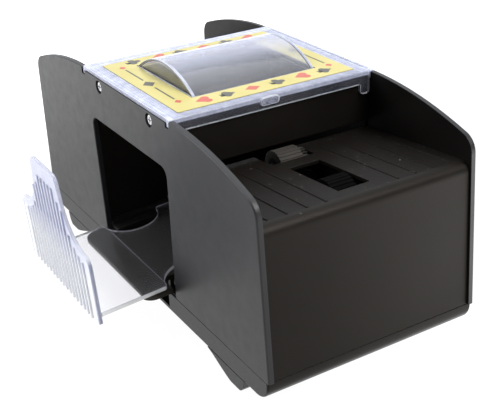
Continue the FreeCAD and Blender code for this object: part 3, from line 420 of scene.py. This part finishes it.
def drawer_painted_outlines(m):
    """Painted shade: a wider bright-grey outline round the tab and down the two ends of the fence."""
    x, y, z = m.xyz()
    fence = m.span(y, -0.0846, -0.0836, 1.0, 0.0)
    tab = m.math("MULTIPLY", m.edge_mask(0.0009), m.span(z, 0.0506, 0.0512, 0.0, 1.0))
    ends = m.span(m.math("ABSOLUTE", x), 0.0379, 0.0384, 0.0, 0.8)
    return m.math("MULTIPLY", m.math("MAXIMUM", tab, ends), fence)


def drawer_painted_shade(m):
    """Painted shade: the plain part of the fence, above the ribs, is painted a shade greyer than the ribbed part."""
    x, y, z = m.xyz()
    return m.math("MULTIPLY", m.span(z, 0.0380, 0.0520, 0.05, 0.62), m.span(y, -0.0846, -0.0836, 1.0, 0.0))


# painted reflection: the lid's haze is pale lavender, and its rims and edges are painted near-white
clear_lid = clear("clear_lid_acrylic", (0.955, 0.960, 0.985, 1), rgb(206, 211, 236), 0.1, rough=(0.06, 0.11), haze_and_highlight_by=lid_haze_and_painted_highlights, painted_edge_haze=0.9,
                  painted_edge_col=rgb(250, 251, 255))
clear_drawer = clear("clear_drawer_acrylic", (0.930, 0.930, 0.968, 1), rgb(246, 248, 255), 0.12, rough=(0.14, 0.22), ior=1.33,
                     haze_and_highlight_by=drawer_haze_and_painted_edges, haze_normal=sheet_normal, scatter=0.002, painted_edge_col=rgb(182, 185, 210), mottle=(0.95, 1.1), edge_by=drawer_painted_outlines, haze_painted_shade_tone=drawer_painted_shade)


def label_print():
    """Printed yellow sheet under a gloss film."""
    m = Mat("label_print")
    n = m.noise(60.0, 3.0, 0.5)
    fibre = m.noise(2200.0, 3.0, 0.6, m.coords(scale=(1, 0.3, 1)))
    x, y, z = m.xyz()
    col = m.mix(m.span(n, 0.35, 0.65, 0, 1), rgb(182, 170, 92), rgb(188, 178, 107))
    col = m.mix(m.span(fibre, 0.4, 0.8, 0.0, 0.10), col, rgb(240, 214, 96))
    side = m.span(z, 0.10071, 0.10085, 0.0, 1.0)
    col = m.mix(side, rgb(196, 180, 110), col)
    p = m.principled(Base_Color=col, Roughness=m.span(fibre, 0.3, 0.7, 0.34, 0.46), Normal=m.bump(fibre, 0.06, 0.00005),
                     Coat_Weight=0.35, Coat_Roughness=0.12)
    return m.finish(p.outputs[0])


def ink(name, a, b):
    m = Mat(name)
    n = m.noise(1500.0, 3.0, 0.6)
    p = m.principled(Base_Color=m.mix(m.span(n, 0.35, 0.7, 0, 1), a, b), Roughness=m.span(n, 0.3, 0.7, 0.32, 0.44),
                     Normal=m.bump(n, 0.04, 0.00004), Coat_Weight=0.35, Coat_Roughness=0.12)
    return m.finish(p.outputs[0])


label = label_print()
ink_red = ink("ink_red", rgb(176, 66, 46), rgb(188, 84, 62))
ink_black = ink("ink_black", rgb(54, 52, 42), rgb(74, 72, 58))

BY_NODE = {
    "base_tray": base_mat, "front_panel": panel, "rear_panel": panel, "battery_door": matte_painted_shade, "right_hopper": matte_painted_shade,
    "left_hopper": matte_painted_shade, "tower_frame": inner, "drawer_bed": inner, "press_lever": lever, "panel_screws": screw_metal,
    "base_screws": screw_metal, "bracket_screws": screw_metal, "motor_screws": screw_metal, "foot_pads": pad_rubber,
    "lever_pivot_pin": steel, "battery_cells": cell_mat, "battery_end_plates": brass, "battery_leaf_springs": spring_metal,
    "clear_lid": clear_lid, "lid_label": label, "card_drawer": clear_drawer, "lever_spring": spring_metal,
    "lever_contact": brass, "switch_contacts": brass, "shaft_bushes": bronze,
}
for s in ("right_", "left_"):
    BY_NODE.update({
        s + "drive_bracket": inner, s + "axle_pins": steel, s + "motor_can": zinc, s + "motor_cap": nylon,
        s + "motor_shaft": steel, s + "motor_pinion": brass, s + "drive_gear": dark_acetal, s + "roller_idler": dark_acetal,
        s + "feed_idler": dark_acetal, s + "roller_shaft": steel, s + "roller_core": grey_core,
        s + "roller_tyre": roller_rubber, s + "roller_gear": dark_acetal, s + "feed_shaft": steel,
        s + "feed_core": grey_core, s + "feed_tyre": feed_rubber_painted_shade, s + "feed_gear": dark_acetal,
    })
for name, ob in NODES.items():
    mat = BY_NODE.get(name)
    if mat is None:
        raise SystemExit("no material for " + name)
    ob.data.materials.clear()
    ob.data.materials.append(mat)

# the coil under the lever gets a mesh of its own
coil = NODES["lever_spring"]
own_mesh(coil)


# ---------------------------------------------------------------- suit marks on the label
def polar(shape, n=96):
    """Outline of a star-shaped mark, by the farthest point of shape in each direction."""
    pts = []
    for k in range(n):
        a = 2 * math.pi * k / n
        c, s = math.cos(a), math.sin(a)
        r = 0.0
        for q in range(1, 241):
            t = q / 240.0 * 0.75
            if shape(t * c, t * s):
                r = t
        pts.append((r * c, r * s))
    return pts


def circle(cx, cy, r):
    return lambda x, y: (x - cx) ** 2 + (y - cy) ** 2 <= r * r


def heart(x, y):
    if circle(-0.225, 0.16, 0.265)(x, y) or circle(0.225, 0.16, 0.265)(x, y):
        return True
    return -0.5 <= y <= 0.12 and abs(x) <= 0.455 * ((y + 0.5) / 0.60) ** 0.82


def mirrored(half):
    """Closed outline from its right half, which runs from the top to the bottom."""
    return half + [(-x, y) for x, y in reversed(half) if x > 1e-6]


def arc(cx, cy, r, a0, a1, n=14):
    return [(cx + r * math.cos(math.radians(a0 + (a1 - a0) * i / n)), cy + r * math.sin(math.radians(a0 + (a1 - a0) * i / n)))
            for i in range(n + 1)]


STEM = [(0.045, -0.16), (0.055, -0.30), (0.10, -0.42), (0.20, -0.50)]
SPADE = mirrored([(0.0, 0.50), (0.06, 0.40), (0.15, 0.28), (0.26, 0.17), (0.35, 0.07)] + arc(0.22, -0.07, 0.21, 38, -125, 12) + STEM)
CLUB = mirrored(arc(0.0, 0.27, 0.22, 90, -52) + arc(0.245, -0.05, 0.22, 118, -140) + STEM)


def diamond(x, y):
    return abs(x) / 0.40 + abs(y) / 0.5 <= 1.0


def marks(name, items, z0, z1, material):
    """One piece of thin printed marks: items are (outline, x, y, size, angle)."""
    bm = bmesh.new()
    for outline, x, y, size, ang in items:
        ca, sa = math.cos(ang), math.sin(ang)
        ring = [(x + size * (u * ca - v * sa), y + size * (u * sa + v * ca)) for u, v in outline]
        low = [bm.verts.new((a, b, z0)) for a, b in ring]
        top = [bm.verts.new((a, b, z1)) for a, b in ring]
        bm.faces.new(top)
        bm.faces.new(list(reversed(low)))
        for i in range(len(ring)):
            j = (i + 1) % len(ring)
            bm.faces.new((low[i], low[j], top[j], top[i]))
    bmesh.ops.triangulate(bm, faces=[f for f in bm.faces if len(f.verts) > 4])
    bmesh.ops.recalc_face_normals(bm, faces=bm.faces[:])
    me = bpy.data.meshes.new(name)
    bm.to_mesh(me)
    bm.free()
    ob = bpy.data.objects.new(name, me)
    bpy.context.scene.collection.objects.link(ob)
    me.materials.append(material)
    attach(ob, "lid")
    return ob


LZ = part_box("lid_label")[1][2]
SH = {"heart": polar(heart), "spade": SPADE, "diamond": polar(diamond), "club": CLUB}
red, black = [], []
for x, ys, row in ((32.0, (-27.7, -16.5, -4.5, 7.7, 20.2, 31.8), ("heart", "spade", "diamond", "club", "heart", "spade")),
                   (-32.2, (-29.4, -16.0, -5.2, 7.3, 19.3, 31.6), ("club", "heart", "spade", "diamond", "club", "heart"))):
    for y, k in zip(ys, row):
        (red if k in ("heart", "diamond") else black).append((SH[k], x / 1000, y / 1000, 0.0072, 0.0))
# plain ornament on the short borders: a rule with a lozenge at its middle and pips at its ends
for yb in (-36.9, 37.4):
    lens = [(u / 2, v) for u, v in SH["diamond"]]
    black.append((SH["diamond"], 0.0, yb / 1000, 0.0072, math.pi / 2))
    for sx in (-1, 1):
        bar = [(-0.5, -0.022), (0.5, -0.022), (0.5, 0.022), (-0.5, 0.022)]
        black.append((bar, sx * 0.0148, yb / 1000, 0.0180, 0.0))
        red.append((SH["diamond"], sx * 0.0272, yb / 1000, 0.0040, math.pi / 2))
marks("label_marks_red", red, LZ + 0.000002, LZ + 0.00004, ink_red)
marks("label_marks_black", black, LZ + 0.000002, LZ + 0.00004, ink_black)

# ---------------------------------------------------------------- floor, light, camera
floor_mat = Mat("studio_floor")
n = floor_mat.noise(3.0, 2.0, 0.5)
fl = floor_mat.principled(Base_Color=floor_mat.mix(n, (0.050, 0.050, 0.050, 1), (0.070, 0.070, 0.070, 1)), Roughness=0.8,
                          Specular_IOR_Level=0.0, Emission_Color=(1.0, 1.0, 1.0, 1))
fx, fy, fz = floor_mat.xyz()
# painted light: the floor's emission rises above its even 0.98 in a patch on the +x, +y side beyond the end wall and
# far out on the -x side; these glowing patches act as lamps
q = floor_mat.math("SUBTRACT", fy, floor_mat.math("MULTIPLY", floor_mat.math("SUBTRACT", fx, 0.16), 0.50))
floor_glow_with_painted_patches = floor_mat.math("ADD", floor_mat.math("MULTIPLY", floor_mat.span(q, 0.0, 0.12, 0.0, 2.9), floor_mat.span(fx, 0.095, 0.150, 0.0, 1.0)),
                      floor_mat.span(fx, -0.16, -0.36, 0.98, 1.7))
floor_mat.put(fl.inputs["Emission Strength"], floor_glow_with_painted_patches)
fm = floor_mat.finish(fl.outputs[0])
me = bpy.data.meshes.new("studio_floor")
bm = bmesh.new()
R = 12.0
bm.faces.new([bm.verts.new(p) for p in ((-R, -R, 0), (R, -R, 0), (R, R, 0), (-R, R, 0))])
bm.to_mesh(me)
bm.free()
floor = bpy.data.objects.new("studio_floor", me)
bpy.context.scene.collection.objects.link(floor)
me.materials.append(fm)

world = bpy.data.worlds.new("studio")
world.use_nodes = True
wt = world.node_tree
bg = wt.nodes["Background"]
wc = wt.nodes.new("ShaderNodeTexCoord")
dot = wt.nodes.new("ShaderNodeVectorMath")
dot.operation = "DOT_PRODUCT"
wt.links.new(wc.outputs["Generated"], dot.inputs[0])
dot.inputs[1].default_value = Vector((-0.90, -0.20, 0.10)).normalized()
wr = wt.nodes.new("ShaderNodeMapRange")
wt.links.new(dot.outputs["Value"], wr.inputs["Value"])
for k, v in (("From Min", -0.5), ("From Max", 0.95), ("To Min", 0.22), ("To Max", 1.15)):
    wr.inputs[k].default_value = v
bg.inputs[0].default_value = (0.92, 0.95, 1.0, 1)
dot2 = wt.nodes.new("ShaderNodeVectorMath")
dot2.operation = "DOT_PRODUCT"
wt.links.new(wc.outputs["Generated"], dot2.inputs[0])
dot2.inputs[1].default_value = Vector((-0.52, 0.32, 0.79)).normalized()
wp = wt.nodes.new("ShaderNodeMapRange")
wp.interpolation_type = "SMOOTHSTEP"
wt.links.new(dot2.outputs["Value"], wp.inputs["Value"])
for k, v in (("From Min", 0.82), ("From Max", 1.0), ("To Min", 0.0), ("To Max", 0.95)):
    wp.inputs[k].default_value = v
ws = wt.nodes.new("ShaderNodeMath")
ws.operation = "ADD"
wt.links.new(wr.outputs["Result"], ws.inputs[0])
wt.links.new(wp.outputs["Result"], ws.inputs[1])
wt.links.new(ws.outputs[0], bg.inputs[1])
bpy.context.scene.world = world


def area(name, loc, target, size, power, color=(1, 1, 1), size_y=None):
    li = bpy.data.lights.new(name, "AREA")
    li.shape = "RECTANGLE" if size_y else "SQUARE"
    li.size = size
    if size_y:
        li.size_y = size_y
    li.energy = power
    li.color = color
    ob = bpy.data.objects.new(name, li)
    ob.location = loc
    ob.rotation_mode = "QUATERNION"
    ob.rotation_quaternion = (Vector(target) - Vector(loc)).to_track_quat("-Z", "Y")
    bpy.context.scene.collection.objects.link(ob)
    return ob


area("key_softbox", (-0.75, -0.95, 0.85), (0, 0, 0.05), 0.9, 11.5)
area("top_softbox", (-0.10, 0.30, 1.30), (0, 0, 0.08), 1.0, 4.0)
area("edge_softbox", (0.62, 0.26, 0.86), (0.1, -0.03, 0.06), 0.38, 11.0, size_y=0.6)

A, E, ROLL = math.radians(60.3195), math.radians(26.3339), math.radians(-2.9648)
back = Vector((math.sin(A) * math.cos(E), -math.cos(A) * math.cos(E), math.sin(E)))
right = Vector((0, 0, 1)).cross(back).normalized()
up = back.cross(right)
c, s = math.cos(ROLL), math.sin(ROLL)
xc, yc = c * right + s * up, -s * right + c * up
cam = bpy.data.cameras.new("camera")
cam.sensor_width = 36.0
cam.lens = 977.843 * 36.0 / 500.0
cam.clip_start, cam.clip_end = 0.01, 50.0
co = bpy.data.objects.new("camera", cam)
co.matrix_world = Matrix((
    (xc.x, yc.x, back.x, 0.365998),
    (xc.y, yc.y, back.y, -0.199112),
    (xc.z, yc.z, back.z, 0.236363),
    (0, 0, 0, 1)))
bpy.context.scene.collection.objects.link(co)
bpy.context.scene.camera = co
